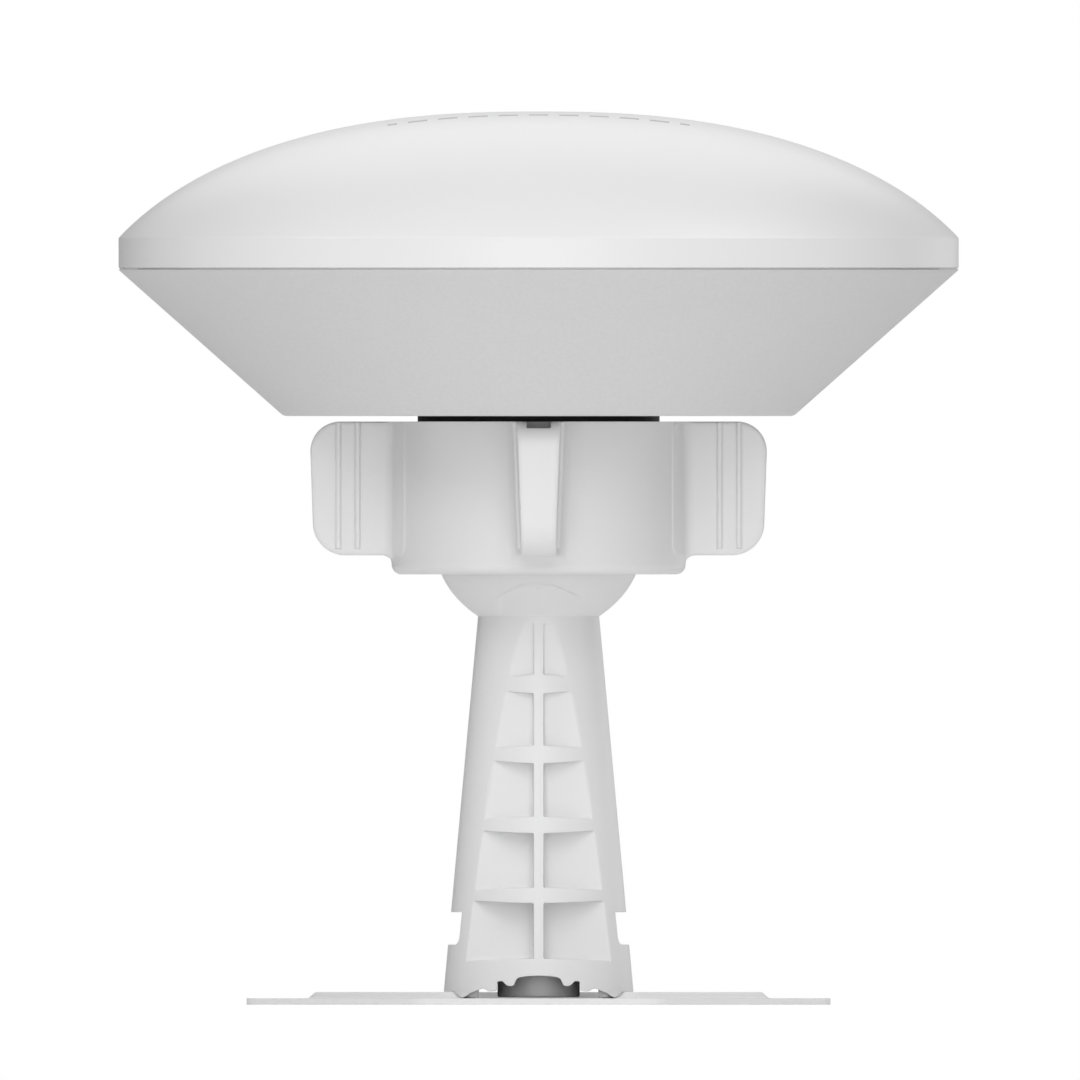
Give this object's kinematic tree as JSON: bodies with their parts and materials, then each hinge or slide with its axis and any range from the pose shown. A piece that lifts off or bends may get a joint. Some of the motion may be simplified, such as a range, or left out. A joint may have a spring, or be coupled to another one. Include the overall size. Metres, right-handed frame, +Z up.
{
  "type": "gnss receiver",
  "caption": "Domed GNSS receiver: conical housing on a clamped ball joint with a winged lock ring, a tapered ribbed arm and an octagonal base plate.",
  "frame": {"origin": "centre of the base plate's underside", "axes": "+Z up through the arm and the dome, -Y the front, where the plate's channel opens, +X to the right seen from the front"},
  "size_m": [0.2, 0.2, 0.2126],
  "materials": {
    "radome_shell": "satin moulded skin",
    "housing_shell": "fine spark-eroded grain",
    "mount_plastic": "moulded, light grain",
    "plate_steel": "powder coat",
    "boss_steel": "turned, dull zinc",
    "screw_steel": "stainless",
    "black_plastic": "moulded",
    "pad_rubber": "dull",
    "seal_rubber": "dull",
    "board_green": "solder mask",
    "chip_black": "moulded",
    "shield_tin": "tinned",
    "ceramic": "fired",
    "plane_aluminium": "milled",
    "standoff_brass": "turned",
    "light_guide": "clear",
    "button_orange": "moulded"
  },
  "bodies": {
    "mount": {"base_plate": "plate_steel", "thread_boss": "boss_steel", "arm_screw_1": "screw_steel", "arm_screw_2": "screw_steel", "arm_screw_3": "screw_steel", "arm_screw_4": "screw_steel", "mount_arm": "mount_plastic"},
    "pad": {"friction_pad": "pad_rubber"},
    "cup": {"ball_cup": "black_plastic"},
    "collet": {"clamp_collet": "black_plastic"},
    "ring": {"lock_ring": "mount_plastic"},
    "cover": {"port_cover": "housing_shell", "cover_gasket": "seal_rubber"},
    "button": {"reset_button": "button_orange"},
    "head": {"ball_collar": "black_plastic", "collar_screw_1": "screw_steel", "collar_screw_2": "screw_steel", "collar_screw_3": "screw_steel", "collar_screw_4": "screw_steel", "lower_housing": "housing_shell", "radome": "radome_shell", "housing_gasket": "seal_rubber", "housing_screw_1": "screw_steel", "housing_screw_2": "screw_steel", "housing_screw_3": "screw_steel", "housing_screw_4": "screw_steel", "housing_screw_5": "screw_steel", "housing_screw_6": "screw_steel", "light_pipe_1": "light_guide", "light_pipe_2": "light_guide", "light_pipe_3": "light_guide", "pressure_vent": "black_plastic", "port_panel": "black_plastic", "button_switch": "black_plastic", "board_connector": "black_plastic", "main_board": "board_green", "antenna_board": "board_green", "processor": "chip_black", "heat_pad": "seal_rubber", "receiver_shield": "shield_tin", "lna_shield": "shield_tin", "backup_cell": "shield_tin", "network_socket": "shield_tin", "service_socket": "shield_tin", "standoff_1": "standoff_brass", "standoff_2": "standoff_brass", "standoff_3": "standoff_brass", "standoff_4": "standoff_brass", "ground_plane": "plane_aluminium", "antenna_patch_lower": "ceramic", "antenna_patch_upper": "ceramic", "board_screw_1": "screw_steel", "board_screw_2": "screw_steel", "board_screw_3": "screw_steel", "board_screw_4": "screw_steel", "cover_pin": "screw_steel"}
  },
  "joints": [
    {"name": "ball_swivel", "type": "hinge", "parent": "mount", "child": "pad", "pos_m": [0, 0, 0.1131], "axis": [0, 0, 1], "continuous": true},
    {"name": "ball_tilt", "type": "hinge", "parent": "pad", "child": "cup", "pos_m": [0, 0, 0.1131], "axis": [1, 0, 0], "range_deg": [-25, 25]},
    {"name": "head_spin", "type": "hinge", "parent": "cup", "child": "head", "pos_m": [0, 0, 0.1131], "axis": [0, 0, 1], "continuous": true},
    {"name": "ring_drop", "type": "slide", "parent": "head", "child": "collet", "axis": [0, 0, -1], "range_m": [0, 0.002]},
    {"name": "lock_ring_turn", "type": "hinge", "parent": "collet", "child": "ring", "pos_m": [0, 0, 0.1131], "axis": [0, 0, -1], "range_deg": [0, 180]},
    {"name": "cover_swing", "type": "hinge", "parent": "head", "child": "cover", "pos_m": [0, 0.09277, 0.1685], "axis": [1, 0, 0], "range_deg": [0, 150]},
    {"name": "reset_press", "type": "slide", "parent": "head", "child": "button", "axis": [0, -1, 0], "range_m": [0, 0.0008], "stiffness_N_per_m": 600}
  ],
  "couplings": [
    {"joint": "ring_drop", "follows": "lock_ring_turn", "m_per_rad": 0.00063662}
  ]
}
